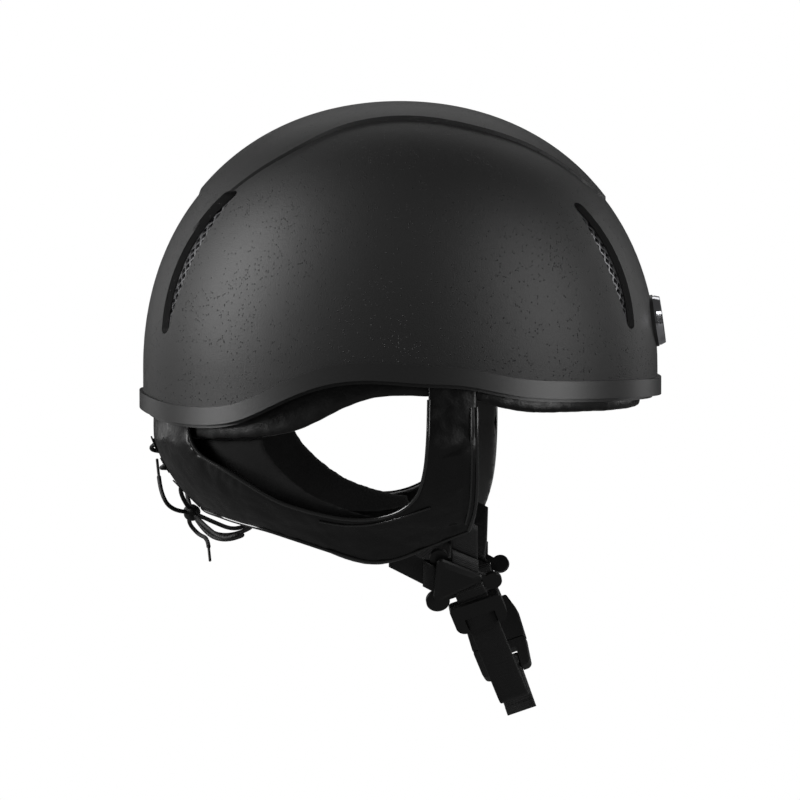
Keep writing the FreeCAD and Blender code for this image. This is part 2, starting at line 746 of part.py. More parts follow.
# Triangular strap divider: slotted plate, post and cap
plate_half = dim("divider_plate") / 2
bar_half = dim("divider_bar") / 2
lobe = dim("divider_lobe")
clearance = dim("webbing_clearance")
corner_left = V(-17.5, 0, 0)
corner_right = V(13.0, 0.8, 0)
corner_top = V(-8.5, 25.0, 0)
corners = [corner_left, corner_right, corner_top]
divider = Part.Face(Part.makePolygon(corners + corners[:1])).extrude(V(0, 0, 2 * plate_half))
for corner, radius in zip(corners, [dim("divider_large_lobe"), lobe, lobe]):
    divider = divider.fuse(Part.makeCylinder(radius, 2 * plate_half, corner))
wrap = plate_half + clearance + 0.7
slot_depth = wrap + web_thick + 0.3
slots = []
for start, final, opposite in [
    (corner_left, corner_right, corner_top), (corner_right, corner_top, corner_left), (corner_top, corner_left, corner_right),
]:
    along = (final - start).normalize()
    inner = V(-along.y, along.x, 0)
    middle = (start + final) * 0.5
    if start == corner_left:
        middle = V(0, 0, 0)
        along = V(1, 0, 0)
        inner = V(0, 1, 0)
    slots.append((middle, along, inner))
    edge_bar = Part.makeBox((final - start).Length, 2 * bar_half, 2 * plate_half)
    edge_bar.translate(V(-(final - start).Length / 2, -bar_half, 0))
    edge_bar.Placement = axes_placement(middle, along, inner, V(0, 0, 1)).multiply(edge_bar.Placement)
    if start == corner_left:
        edge_bar.translate(V(-2.25, 0, 0))
    divider = divider.fuse(edge_bar)
for middle, along, inner in slots:
    play = clearance if along.y == 0 else clearance + dim("tab_play")
    opening = Part.makeBox(web_width + 2 * play, slot_depth - bar_half, 10)
    opening.translate(V(-web_width / 2 - play, bar_half, -4))
    opening.Placement = axes_placement(middle, along, inner, V(0, 0, 1)).multiply(opening.Placement)
    divider = divider.cut(opening)
divider.translate(V(0, 0, -plate_half))
cap_low = wrap + web_thick + 0.3
post = plate([(-10.5, 5.6, 1), (2.0, 5.6, 1), (-6.6, 15.5, 1)], 0, cap_low + 0.2)
cap_high = cap_low + dim("divider_cap")
cap_rings = [
    closed_wire([(-20.2, 1.6, 2.6), (11.8, 5.4, 2.6), (-8.8, 28.0, 2.6)], cap_low),
    closed_wire([(-19.6, 2.2, 2.4), (11.0, 5.8, 2.4), (-8.9, 27.1, 2.4)], cap_low + 0.6 * dim("divider_cap")),
    closed_wire([(-15.8, 4.6, 2.0), (6.8, 7.2, 2.0), (-8.3, 22.0, 2.0)], cap_high),
]
cap = Part.makeLoft(cap_rings, True, True)
divider = divider.fuse(post).fuse(cap)
divider_right = add_piece("strap_divider_right", divider, side_place)
mirror_piece("strap_divider_left", divider_right)

# Webbing tabs between the harness and the divider
tab_wrap = wrap + web_thick / 2


def tab(slot, way, length, short, drop):
    middle, along, inner = slot
    path = [
        (short, 1.2), (3.0, tab_wrap), (-tab_wrap, tab_wrap, tab_wrap), (-tab_wrap, -tab_wrap, tab_wrap),
        (3.0, -tab_wrap), (short, -1.2), (length, drop),
    ]
    band = strip(path, web_thick, -web_width / 2, web_width / 2)
    middle = middle + along * (tab_wrap / 2 * way.dot(along))
    skew = FreeCAD.Matrix(
        way.x, 0, along.x, middle.x,
        way.y, 0, along.y, middle.y,
        0, 1, 0, 0,
        0, 0, 0, 1,
    )
    return band.transformGeometry(skew)


front_tab = tab(slots[1], V(0.33, 0.944, 0), 27.0, 9.0, -3.6)
rear_tab = tab(slots[2], V(-0.70, 0.714, 0), 28.0, 9.0, -6.0)
front_tab_right = add_piece("front_tab_right", front_tab, side_place)
rear_tab_right = add_piece("rear_tab_right", rear_tab, side_place)
mirror_piece("front_tab_left", front_tab_right)
mirror_piece("rear_tab_left", rear_tab_right)

# Chin strap: one webbing from the right divider round the chin to the plug, with a tail
loop_place = axes_placement(strap_origin, V(0, 1, 0), down * -1, across)
sin_in = math.sin(inward)
cos_in = math.cos(inward)


def near(n, r):
    return (-half_span - n * cos_in - r * sin_in, -n * sin_in + r * cos_in)


def far(n, r):
    y, u = near(n, r)
    return (-y, u)


plug_place = dim("socket_place") + dim("socket_length") + dim("buckle_clearance")
plug_bar = plug_place + 10.0
inner_line = -(web_thick / 2 + 0.05)
outer_line = web_thick / 2 + 0.3
bottom = -half_span / math.tan(inward) + inner_line / sin_in
strap_wrap = tab_wrap
slider_end = dim("slider_place") + dim("slider_length")
strap_path = [
    near(outer_line, -slider_end - 3.0), near(outer_line, -dim("slider_place") + 1.5), near(strap_wrap, -3.0),
    near(strap_wrap, strap_wrap) + (strap_wrap,), near(-strap_wrap, strap_wrap) + (strap_wrap,),
    near(-strap_wrap, -3.0), near(inner_line, -dim("slider_place") + 1.5),
    (0.0, bottom, curl),
    far(inner_line, -plug_bar - 7.0), far(-strap_wrap, -plug_bar - 3.0),
    far(-strap_wrap, -plug_bar + strap_wrap) + (strap_wrap,), far(strap_wrap, -plug_bar + strap_wrap) + (strap_wrap,),
    far(strap_wrap, -plug_bar - 5.0) + (3.0,),
    (far(strap_wrap, -plug_bar - 5.0)[0] + 0.5, -dim("tail_length")),
]
strap = strip(strap_path, web_thick, -web_width / 2, web_width / 2)
add_piece("chin_strap", strap, loop_place)

# Slider that keeps the folded webbing flat
slide_half = dim("slider_width") / 2
slide_bar = dim("slider_bar")
slide_top = -dim("slider_place")
slide_low = -slider_end
rail_in = web_width / 2 + clearance
bar_under = inner_line - web_thick / 2 - clearance
bar_over = outer_line + web_thick / 2 + clearance
rail_low = bar_under - slide_bar
rail_high = bar_over + slide_bar
rail = plate([
    (rail_in, slide_top), (slide_half, slide_top, 2.0), (slide_half, slide_low, 5.0), (rail_in, slide_low),
], rail_low, rail_high)
slider = rail.fuse(rail.mirror(V(0, 0, 0), V(1, 0, 0)))
bar_span = 2 * slide_half - 4
slider_cover = dim("slider_cover")
slider = slider.fuse(Part.makeBox(bar_span, slider_cover, slide_bar, V(-bar_span / 2, slide_top - slider_cover, bar_over)))
for place in (slide_top - 3.2, slide_low + 1.2):
    slider = slider.fuse(Part.makeBox(bar_span, 3.0, slide_bar, V(-bar_span / 2, place, rail_low)))
add_piece("strap_slider", slider.removeSplitter(), side_place)

# Side release buckle on the left: short strap, socket, plug and two prongs

def left_piece(name, shape):
    shape.Placement = side_place.multiply(shape.Placement)
    return add_piece(name, shape.mirror(V(0, 0, 0), V(0, 1, 0)))


socket_top = -dim("socket_place")
socket_low = socket_top - dim("socket_length")
socket_half = dim("socket_width") / 2
socket_high = dim("socket_height") / 2
socket_bar = socket_top - 1.2 - bar_half
loop_outer = closed_wire([
    (0.0 + tab_wrap + web_thick / 2, wrap + web_thick, wrap + web_thick),
    (socket_bar - tab_wrap - web_thick / 2, wrap + web_thick, wrap + web_thick),
    (socket_bar - tab_wrap - web_thick / 2, -wrap - web_thick, wrap + web_thick),
    (0.0 + tab_wrap + web_thick / 2, -wrap - web_thick, wrap + web_thick),
])
loop_inner = closed_wire([
    (wrap, wrap, wrap), (socket_bar - wrap, wrap, wrap), (socket_bar - wrap, -wrap, wrap), (wrap, -wrap, wrap),
])
short_strap = Part.Face(loop_outer).cut(Part.Face(loop_inner)).extrude(V(0, 0, web_width))
short_strap.translate(V(0, 0, -web_width / 2))
short_strap.Placement = axes_placement(V(0, 0, 0), V(0, 1, 0), V(0, 0, 1), V(1, 0, 0)).multiply(short_strap.Placement)
left_piece("buckle_strap", short_strap)

socket_wall = dim("socket_wall")
socket = plate([
    (-socket_half + 3.0, socket_top + 1.2, 1.5), (socket_half - 3.0, socket_top + 1.2, 1.5),
    (socket_half, socket_top - 8.0, 2.0), (socket_half, socket_low, 1.0),
    (-socket_half, socket_low, 1.0), (-socket_half, socket_top - 8.0, 2.0),
], -socket_high, socket_high)
slot_low = socket_bar - slot_depth
socket = socket.cut(Part.makeBox(web_width + 2 * clearance, slot_depth - bar_half, 20, V(-rail_in, slot_low, -10)))
for level in (plate_half, -plate_half - 10):
    socket = socket.cut(Part.makeBox(web_width + 2 * clearance, 8.0, 10, V(-rail_in, socket_bar - bar_half, level)))
mouth_half = socket_half - socket_wall
mouth_high = socket_high - socket_wall
mouth_top = slot_low - 1.6
socket = socket.cut(Part.makeBox(2 * mouth_half, mouth_top - socket_low + 1, 2 * mouth_high, V(-mouth_half, socket_low - 1, -mouth_high)))
window = Part.makeBox(2 * socket_half + 2, 7.4, 2 * mouth_high, V(-socket_half - 1, socket_low + 5.0, -mouth_high))
socket = socket.cut(window)
left_piece("buckle_socket", socket)

gap = dim("buckle_clearance")
plug_top = -plug_place
plug_low = plug_top - dim("plug_length")
plug = plate([
    (-socket_half, plug_top, 1.0), (socket_half, plug_top, 1.0), (socket_half - 1.5, plug_low, 3.0),
    (-socket_half + 1.5, plug_low, 3.0),
], -socket_high + 0.6, socket_high - 0.6)
plug = plug.cut(Part.makeBox(web_width + 2 * clearance, 20, 20, V(-rail_in, -plug_bar + bar_half - 20 - 2 * bar_half, -10)))
plug = plug.cut(Part.makeBox(web_width + 2 * clearance, 4.4, 20, V(-rail_in, -plug_bar + bar_half, -10)))
for level in (plate_half, -plate_half - 10):
    plug = plug.cut(Part.makeBox(web_width + 2 * clearance, 8.0, 10, V(-rail_in, -plug_bar - bar_half - 2, level)))
tongue_high = mouth_high - gap
tongue = plate([
    (-2.6, plug_top - 1.0), (-2.6, plug_top + 12.0, 1.5), (2.6, plug_top + 12.0, 1.5), (2.6, plug_top - 1.0),
], -tongue_high, tongue_high)
plug = plug.fuse(tongue)
plug = plug.fuse(Part.makeBox(2 * rail_in + 2, 2 * bar_half, 2 * plate_half, V(-rail_in - 1, -plug_bar - bar_half, -plate_half)))
left_piece("buckle_plug", plug.removeSplitter())

prong_width = dim("prong_width")
prong_side = mouth_half - gap - prong_width - 0.6
prong_top = plug_top + dim("prong_length")
for name, side in (("buckle_prong_front", 1), ("buckle_prong_rear", -1)):
    finger = [
        (side * prong_side, plug_top + gap), (side * prong_side, prong_top),
        (side * (prong_side + prong_width - 0.6), prong_top),
        (side * (socket_half - 0.4), prong_top - 3.4), (side * (socket_half - 0.4), plug_top + 6.6),
        (side * (prong_side + prong_width), plug_top + 4.6), (side * (prong_side + prong_width), plug_top + gap),
    ]
    if side < 0:
        finger.reverse()
    left_piece(name, plate(finger, -tongue_high, tongue_high))

# Check and write every node
doc.recompute()
for piece in doc.Objects:
    if "Invalid" in piece.State or "Error" in piece.State:
        raise RuntimeError("%s is %s" % (piece.Name, piece.State))
kinds = ["Part::Feature", "Part::Mirroring", "PartDesign::Body", "Part::Cylinder", "Part::Ellipsoid"]
names = []
for piece in doc.Objects:
    if piece.TypeId in kinds:
        if not piece.Shape.isValid() or not piece.Shape.Solids:
            raise RuntimeError("%s has no valid solid" % piece.Label)
        names.append(piece.Label)
        piece.Shape.exportStep("parts/%s.step" % piece.Label)
        print("%-26s %2d solid %9.1f mm3" % (piece.Label, len(piece.Shape.Solids), piece.Shape.Volume))
print(len(names), "nodes")
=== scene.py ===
import math

import bmesh
import bpy
import numpy as np
from mathutils import Matrix, Vector, bvhtree, kdtree, noise


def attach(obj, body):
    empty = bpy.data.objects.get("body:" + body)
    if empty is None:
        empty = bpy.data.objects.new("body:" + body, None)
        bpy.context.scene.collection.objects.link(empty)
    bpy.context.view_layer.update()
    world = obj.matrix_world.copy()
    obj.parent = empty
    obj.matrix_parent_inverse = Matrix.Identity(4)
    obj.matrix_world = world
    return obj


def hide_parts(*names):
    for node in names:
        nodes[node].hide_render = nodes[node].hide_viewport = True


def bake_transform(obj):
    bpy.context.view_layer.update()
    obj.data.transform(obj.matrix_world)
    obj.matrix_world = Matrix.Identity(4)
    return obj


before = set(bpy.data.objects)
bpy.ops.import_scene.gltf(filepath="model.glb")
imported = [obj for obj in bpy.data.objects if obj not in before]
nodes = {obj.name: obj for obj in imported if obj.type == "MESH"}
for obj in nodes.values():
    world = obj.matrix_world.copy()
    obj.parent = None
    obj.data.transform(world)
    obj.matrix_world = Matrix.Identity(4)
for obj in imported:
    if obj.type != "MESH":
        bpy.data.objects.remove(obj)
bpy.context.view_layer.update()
mm = 0.001


# Camera, floor and light. The cap is seen from its right side, turned a little to the front and
# from slightly above, far enough away to look almost flat. The floor and the world look white to
# the camera but throw little light on the cap, which the softboxes shape.
def colour(code):
    """Linear colour of an sRGB hex value."""
    parts = [int(code[i:i + 2], 16) / 255 for i in (0, 2, 4)]
    return [p / 12.92 if p <= 0.04045 else ((p + 0.055) / 1.055) ** 2.4 for p in parts] + [1.0]


def add_node(material, kind, settings=None, links=None):
    """A node with its settings, by property or socket, and the sockets that feed it."""
    node = material.node_tree.nodes.new(kind)
    for name, value in (settings or {}).items():
        if isinstance(name, str) and hasattr(node, name):
            setattr(node, name, value)
        else:
            node.inputs[name].default_value = value
    for name, source in (links or {}).items():
        material.node_tree.links.new(source, node.inputs[name])
    return node


def maths(material, operation, *terms):
    """The result of a maths node over numbers and sockets."""
    numbers = {i: term for i, term in enumerate(terms) if isinstance(term, float)}
    sockets = {i: term for i, term in enumerate(terms) if not isinstance(term, float)}
    settings = {"operation": operation, **numbers}
    return add_node(material, "ShaderNodeMath", settings, sockets).outputs[0]


def add_object(name, data):
    """A new object in the scene, at the origin."""
    thing = bpy.data.objects.new(name, data)
    bpy.context.scene.collection.objects.link(thing)
    return thing


view_azimuth = math.radians(4.0)
view_elevation = math.radians(4.0)
view_distance = 2.5
view_width = 0.4216
view_target = Vector((0.0, 0.0, -0.0174))
view_direction = Vector((
    math.sin(view_azimuth) * math.cos(view_elevation),
    -math.cos(view_azimuth) * math.cos(view_elevation),
    math.sin(view_elevation),
))
camera_data = bpy.data.cameras.new("camera")
camera_data.sensor_width = 36.0
camera_data.lens = camera_data.sensor_width * view_distance / view_width
camera = add_object("camera", camera_data)
camera.location = view_target + view_direction * view_distance
camera.rotation_euler = (-view_direction).to_track_quat("-Z", "Y").to_euler()
bpy.context.scene.camera = camera
bpy.context.scene.view_settings.view_transform = "Standard"

white = (1.0, 1.0, 1.0, 1.0)
floor_size = 8.0
floor_level = -0.32
floor_grey = (0.16, 0.16, 0.16, 1.0)
backdrop = bpy.data.materials.new("pale_backdrop")
backdrop.use_nodes = True
backdrop.node_tree.nodes.clear()
floor_path = add_node(backdrop, "ShaderNodeLightPath").outputs
seen = maths(backdrop, "MAXIMUM", floor_path["Is Camera Ray"], floor_path["Is Transmission Ray"])
pale = add_node(backdrop, "ShaderNodeBsdfDiffuse", {"Color": floor_grey})
bright = add_node(backdrop, "ShaderNodeEmission", {"Color": white, "Strength": 1.0})
pale_mix = add_node(backdrop, "ShaderNodeMixShader", {}, {
    0: seen, 1: pale.outputs[0], 2: bright.outputs[0],
})
add_node(backdrop, "ShaderNodeOutputMaterial", {}, {"Surface": pale_mix.outputs[0]})
bpy.ops.mesh.primitive_plane_add(size=floor_size, location=(0.0, 0.0, floor_level))
floor = bpy.context.object
floor.name = "floor"
floor.data.materials.append(backdrop)

world_strength = 0.05
world = bpy.data.worlds.new("studio")
bpy.context.scene.world = world
world.use_nodes = True
world.node_tree.nodes.clear()
sky_path = add_node(world, "ShaderNodeLightPath").outputs
sky_dim = add_node(world, "ShaderNodeBackground", {"Color": white, "Strength": world_strength})
sky_white = add_node(world, "ShaderNodeBackground", {"Color": white, "Strength": 1.0})
sky_mix = add_node(world, "ShaderNodeMixShader", {}, {
    0: sky_path["Is Camera Ray"], 1: sky_dim.outputs[0], 2: sky_white.outputs[0],
})
add_node(world, "ShaderNodeOutputWorld", {}, {"Surface": sky_mix.outputs[0]})

for name, place, size, power in (
    ("light_right", (1.65, -0.95, 0.6), (1.0, 1.8), 23.0),
    ("light_left", (-1.7, -0.55, 0.75), (0.7, 1.6), 40.0),
    ("light_behind_right", (1.7, 1.2, 0.5), (0.8, 1.4), 6.0),
    ("light_behind_left", (-1.7, 1.2, 0.5), (0.8, 1.4), 4.5),
    ("light_behind_top", (0.0, 1.5, 1.4), (1.8, 0.8), 5.0),
):
    lamp_data = bpy.data.lights.new(name, "AREA")
    lamp_data.shape = "RECTANGLE"
    lamp_data.size, lamp_data.size_y = size
    lamp_data.energy = power
    lamp = add_object(name, lamp_data)
    lamp.location = place
    lamp.rotation_euler = (Vector(place) - view_target).to_track_quat("Z", "Y").to_euler()


# Outer shell: moulded ABS under a matte black textured paint, which dries with fine raised specks
# in loose clouds. The vent slots and the raised crown band are moulded in. The paint gives the
# eye a soft wide shine with a slight grit in it.
def new_material(name, code, roughness, **sockets):
    """A material with its Principled shader; more sockets are given by name."""
    material = bpy.data.materials.new(name)
    material.use_nodes = True
    shader = material.node_tree.nodes["Principled BSDF"]
    shader.inputs["Base Color"].default_value = colour(code)
    shader.inputs["Roughness"].default_value = roughness
    for socket, value in sockets.items():
        shader.inputs[socket.replace("_", " ")].default_value = value
    return material, shader


def link(material, source, target):
    material.node_tree.links.new(source, target)


def texture(material, kind, scale, **settings):
    """A texture over the piece by its place in the frame; scale counts cells in a metre."""
    place = add_node(material, "ShaderNodeTexCoord").outputs["Object"]
    settings["Scale"] = scale
    return add_node(material, "ShaderNodeTex" + kind, settings, {"Vector": place}).outputs


def map_range(material, source, start, end, low, high):
    """A value spread from one range to another."""
    return add_node(material, "ShaderNodeMapRange", {
        "From Min": start, "From Max": end, "To Min": low, "To Max": high,
    }, {"Value": source}).outputs[0]


def relief(material, shader, height, strength, depth, under=None, invert=False):
    """Bump on a shader, over the bump that it is given; depth is in metres."""
    links = {"Height": height, "Normal": under} if under else {"Height": height}
    settings = {"Strength": strength, "Distance": depth, "invert": invert}
    bump = add_node(material, "ShaderNodeBump", settings, links).outputs[0]
    link(material, bump, shader.inputs["Normal"])
    return bump


def blend_tint(material, shader, share, first, second):
    """Base colour between two hex values."""
    tint = add_node(material, "ShaderNodeMix", {
        "data_type": "RGBA", 6: colour(first), 7: colour(second),
    }, {0: share})
    link(material, tint.outputs[2], shader.inputs["Base Color"])


def dress(node, material):
    """Gives a CAD node its finish."""
    nodes[node].data.materials.clear()
    nodes[node].data.materials.append(material)


paint_black = "1c1c1c"
speck_black = "030303"
shell_paint, shader = new_material("textured_matte_paint", paint_black, 0.5)
clouds = texture(shell_paint, "Noise", 42.0, Detail=4.0, Roughness=0.65)["Fac"]
specks = texture(shell_paint, "Voronoi", 1000.0)
speck_share = map_range(shell_paint, clouds, 0.38, 0.64, 0.01, 0.2)
speck_draw = add_node(shell_paint, "ShaderNodeSeparateColor", {}, {"Color": specks["Color"]})
speck_here = maths(shell_paint, "LESS_THAN", speck_draw.outputs[0], speck_share)
speck_dome = map_range(shell_paint, specks["Distance"], 0.22, 0.4, 1.0, 0.0)
speck_mask = maths(shell_paint, "MULTIPLY", speck_here, speck_dome)
blend_tint(shell_paint, shader, speck_mask, paint_black, speck_black)
stipple = texture(shell_paint, "Noise", 1500.0)["Fac"]
stipple_bump = relief(shell_paint, shader, stipple, 0.35, 0.0003)
relief(shell_paint, shader, speck_mask, 1.0, 0.0008, under=stipple_bump)
dress("outer_shell", shell_paint)


# Edge trim: extruded rubber channel pushed over the shell's lower edge. Its satin skin, faintly
# dragged by the die, catches a brighter band of light than the paint above it.
trim_rubber, shader = new_material("extruded_rubber", "181818", 0.4, Specular_IOR_Level=0.85)
relief(trim_rubber, shader, texture(trim_rubber, "Noise", 900.0)["Fac"], 0.15, 0.0002)
dress("edge_trim", trim_rubber)


# Impact liner: steam-moulded bead foam, bonded inside the shell. It is black and dull, and its
# beads show as shallow cells.
bead_foam, shader = new_material("bead_foam", "151515", 0.75)
beads = texture(bead_foam, "Voronoi", 320.0)["Distance"]
relief(bead_foam, shader, beads, 0.5, 0.0006, invert=True)
dress("impact_liner", bead_foam)


# Webbing over the liner: a flat woven nylon band under the shell that ties the front straps
# together. Its weave breaks the light into fine rows of threads.
def weave_material(name, code, roughness, along, across):
    """Woven nylon; thread spacings in metres, read from the piece's UV map."""
    material, shader = new_material(name, code, roughness, Sheen_Weight=0.06, Sheen_Roughness=0.5)
    shader.inputs["Sheen Tint"].default_value = colour(fibre_sheen)
    thread = add_node(material, "ShaderNodeUVMap", {"uv_map": "thread"}).outputs[0]
    apart = add_node(material, "ShaderNodeSeparateXYZ", {}, {0: thread}).outputs
    waves = [
        maths(material, "SINE", maths(material, "MULTIPLY", apart[i], 2 * math.pi / spacing))
        for i, spacing in ((0, along), (1, across))
    ]
    cross = maths(material, "MULTIPLY", *waves)
    fuzz = texture(material, "Noise", 1500.0)["Fac"]
    relief(material, shader, maths(material, "MULTIPLY_ADD", fuzz, 0.5, cross), 0.45, 0.0002)
    return material


def soft_copy(name, node, voxel):
    """A new piece remeshed evenly from a CAD node's form."""
    piece = add_object(name, nodes[node].data.copy())
    build = bmesh.new()
    build.from_mesh(piece.data)
    bmesh.ops.remove_doubles(build, verts=build.verts, dist=0.01 * mm)
    build.to_mesh(piece.data)
    build.free()
    bpy.ops.object.select_all(action="DESELECT")
    bpy.context.view_layer.objects.active = piece
    piece.select_set(True)
    remesh = piece.modifiers.new("remesh", "REMESH")
    remesh.mode = "VOXEL"
    remesh.voxel_size = voxel
    bpy.ops.object.modifier_apply(modifier="remesh")
    return piece


def smooth_shading(piece):
    for face in piece.data.polygons:
        face.use_smooth = True


def finish_mesh(piece, material, node):
    """Finish of a piece of the cap, and the CAD node that it stands for."""
    piece.data.materials.clear()
    piece.data.materials.append(material)
    smooth_shading(piece)
    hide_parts(node)
    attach(piece, "cap")


fibre_sheen = "6a6a6a"
webbing_nylon = weave_material("woven_nylon", "0d0d0d", 0.55, along=1.1 * mm, across=1.5 * mm)
crown_band = soft_copy("crown_webbing_band", "crown_webbing", 1.0 * mm)
threads = crown_band.data.uv_layers.new(name="thread")
for loop in crown_band.data.loops:
    spot = crown_band.data.vertices[loop.vertex_index].co
    threads.data[loop.index].uv = (spot.y, spot.x)
finish_mesh(crown_band, webbing_nylon, "crown_webbing")


# Comfort pads: soft foam under brushed tricot, held to the liner by hook and loop dots. The
# headband is sewn into short cells; the crown pad is a quilted round. The nap of the cloth gives
# the eye a dull surface with a pale edge where it turns away.
def smooth_piece(piece, rounds):
    bpy.context.view_layer.objects.active = piece
    smooth = piece.modifiers.new("smooth", "SMOOTH")
    smooth.iterations = rounds
    smooth.factor = 0.5
    bpy.ops.object.modifier_apply(modifier="smooth")


def read_points(piece):
    """Points and normals of a mesh, as arrays with a row for each vertex."""
    points, normals = np.empty((2, len(piece.data.vertices) * 3))
    piece.data.vertices.foreach_get("co", points)
    piece.data.vertices.foreach_get("normal", normals)
    return points.reshape(-1, 3), normals.reshape(-1, 3)


def write_points(piece, points):
    piece.data.vertices.foreach_set("co", points.ravel())
    piece.data.update()


def sewn_swell(distance, rise, seam_drop, seam_half):
    """Height of a padded face, pulled down where the distance from a seam falls to nothing."""
    return rise - seam_drop * np.exp(-(distance / seam_half) ** 2)


lining_cloth, shader = new_material(
    "brushed_tricot", "101010", 0.9, Sheen_Weight=0.15, Sheen_Roughness=0.6,
)
shader.inputs["Sheen Tint"].default_value = colour(fibre_sheen)
nap_patch = texture(lining_cloth, "Noise", 60.0)["Fac"]
blend_tint(lining_cloth, shader, nap_patch, "0b0b0b", "141414")
relief(lining_cloth, shader, texture(lining_cloth, "Noise", 1300.0, Detail=3.0)["Fac"], 0.5, 0.0004)

head_ratio = 0.81
headband_cells = 18
headband = soft_copy("headband_cushion", "headband_pad", 3.0 * mm)
smooth_piece(headband, 2)
points, normals = read_points(headband)
around = np.arctan2(points[:, 1] / head_ratio, points[:, 0])
swell = sewn_swell(np.abs(np.sin(around * headband_cells / 2)), 0.0012, 0.0026, 0.16)
from_axis = np.hypot(points[:, 0], points[:, 1])
facing_in = -(normals[:, 0] * points[:, 0] + normals[:, 1] * points[:, 1]) / from_axis
write_points(headband, points + normals * (swell * np.clip(facing_in, 0, 1))[:, None])
finish_mesh(headband, lining_cloth, "headband_pad")

quilt_pitch = 0.03
crown_cushion = soft_copy("crown_cushion", "crown_pad", 2.5 * mm)
smooth_piece(crown_cushion, 3)
points, normals = read_points(crown_cushion)
quilt = np.min(np.abs(np.sin(points[:, :2] * math.pi / quilt_pitch)), axis=1)
swell = sewn_swell(quilt, 0.001, 0.0024, 0.18)
write_points(crown_cushion, points + normals * (swell * np.clip(-normals[:, 2], 0, 1))[:, None])
finish_mesh(crown_cushion, lining_cloth, "crown_pad")

hook_tape, shader = new_material("hook_and_loop", "0f0f0f", 0.95)
relief(hook_tape, shader, texture(hook_tape, "Voronoi", 900.0)["Distance"], 0.8, 0.0005)
dots = soft_copy("hook_dots", "hook_loop_dots", 0.8 * mm)
finish_mesh(dots, hook_tape, "hook_loop_dots")


# Rim roll: leatherette over a foam roll that closes the gap between liner and pads. The cover is
# gathered where it turns round the rim. The coated cloth shows a fine pebble grain and soft
# wrinkles, and shines in patches where it is worn.
leatherette, shader = new_material("coated_leatherette", "0c0c0c", 0.3)
grain = texture(leatherette, "Voronoi", 850.0, feature="SMOOTH_F1")["Distance"]
wrinkle = texture(leatherette, "Noise", 120.0, Detail=4.0, Distortion=0.6)["Fac"]
grain_bump = relief(leatherette, shader, grain, 0.3, 0.0002)
relief(leatherette, shader, wrinkle, 0.25, 0.0009, under=grain_bump)
worn = map_range(leatherette, wrinkle, 0.3, 0.7, 0.26, 0.42)
link(leatherette, worn, shader.inputs["Roughness"])

gather_height = 0.1 * mm
rim_roll = soft_copy("rim_roll", "rim_padding", 1.2 * mm)
smooth_piece(rim_roll, 24)
points, normals = read_points(rim_roll)
around = np.arctan2(points[:, 1] / head_ratio, points[:, 0])
pucker = np.sin(around * 60 + 2.0 * np.sin(around * 7)) * np.sin(around * 23 + 1.0)
lower_side = np.clip(0.4 - normals[:, 2], 0, 1)
write_points(rim_roll, points + normals * (gather_height * pucker * lower_side)[:, None])
finish_mesh(rim_roll, leatherette, "rim_padding")


# Vent grilles: expanded metal pressed in diamonds and left bright, clamped behind each slot. The
# strands glint in the dark slots, a little tarnished.
def patchy_roughness(material, shader, scale, low, high):
    """Roughness that wanders between two values."""
    patch = texture(material, "Noise", scale)["Fac"]
    link(material, map_range(material, patch, 0.0, 1.0, low, high), shader.inputs["Roughness"])


bright_mesh, shader = new_material("bright_expanded_metal", "8c8c8e", 0.3, Metallic=1.0)
patchy_roughness(bright_mesh, shader, 300.0, 0.2, 0.45)
for spot in ("front_right", "front_left", "rear_right", "rear_left"):
    dress("vent_grille_" + spot, bright_mesh)


# Badge: a plain round boss on the brow. A chromed ring, mirror bright, holds a dark enamelled disc
# with a soft gloss on a rubber gasket. A zinc-plated steel pin, dull and mottled, goes through the
# shell to a washer nut.
chrome, shader = new_material("chrome_plate", "dcdce0", 0.08, Metallic=1.0)
patchy_roughness(chrome, shader, 200.0, 0.05, 0.14)
dress("badge_ring", chrome)

enamel, shader = new_material("dark_enamel", "3a3a3c", 0.25, Coat_Weight=0.6, Coat_Roughness=0.1)
relief(enamel, shader, texture(enamel, "Noise", 250.0)["Fac"], 0.1, 0.0002)
dress("badge_disc", enamel)
dress("badge_gasket", trim_rubber)

zinc_steel, shader = new_material("zinc_plated_steel", "a8a9a4", 0.35, Metallic=1.0)
patchy_roughness(zinc_steel, shader, 500.0, 0.25, 0.5)
dress("badge_pin", zinc_steel)
dress("badge_nut", zinc_steel)


# Harness halves: leatherette over thin foam, turned and piped round the edge. Each half runs from
# the temple strap round under the ear to the nape, softly padded, creased and gathered where it is
# pulled in. The piping's glazed coat shines along the seams, and its base colour is painted lighter
# than the leatherette as a painted highlight, a thin bright line along the seams.
harness_thick = 5.5
cup_rings = [
    (-118.0, 66.0, 42.0), (-106.0, 72.0, 49.0), (-92.0, 86.0, 61.0), (-76.0, 103.0, 77.0),
    (-60.0, 118.8, 92.0), (-46.0, 127.0, 100.8), (-40.0, 129.4, 104.0), (-35.0, 130.2, 105.7),
    (20.0, 130.2, 105.7),
]


def cup_ring(z):
    """Half length, half width and lean of the harness face at a level; all in millimetres."""
    for low, high in zip(cup_rings, cup_rings[1:]):
        if z <= high[0]:
            share = (z - low[0]) / (high[0] - low[0])
            long = low[1] + (high[1] - low[1]) * share
            wide = low[2] + (high[2] - low[2]) * share
            return long, wide, math.atan2(high[1] - low[1], high[0] - low[0])


def beside(x, z):
    """A spot on the right harness face, from its place in the side view."""
    long, wide, _ = cup_ring(z)
    return Vector((x, -wide * math.sqrt(1 - (x / long) ** 2), z)) * mm


def behind(y, z):
    """A spot on the harness face near the nape, from its place in the back view."""
    long, wide, _ = cup_ring(z)
    return Vector((-long * math.sqrt(1 - (y / wide) ** 2), y, z)) * mm


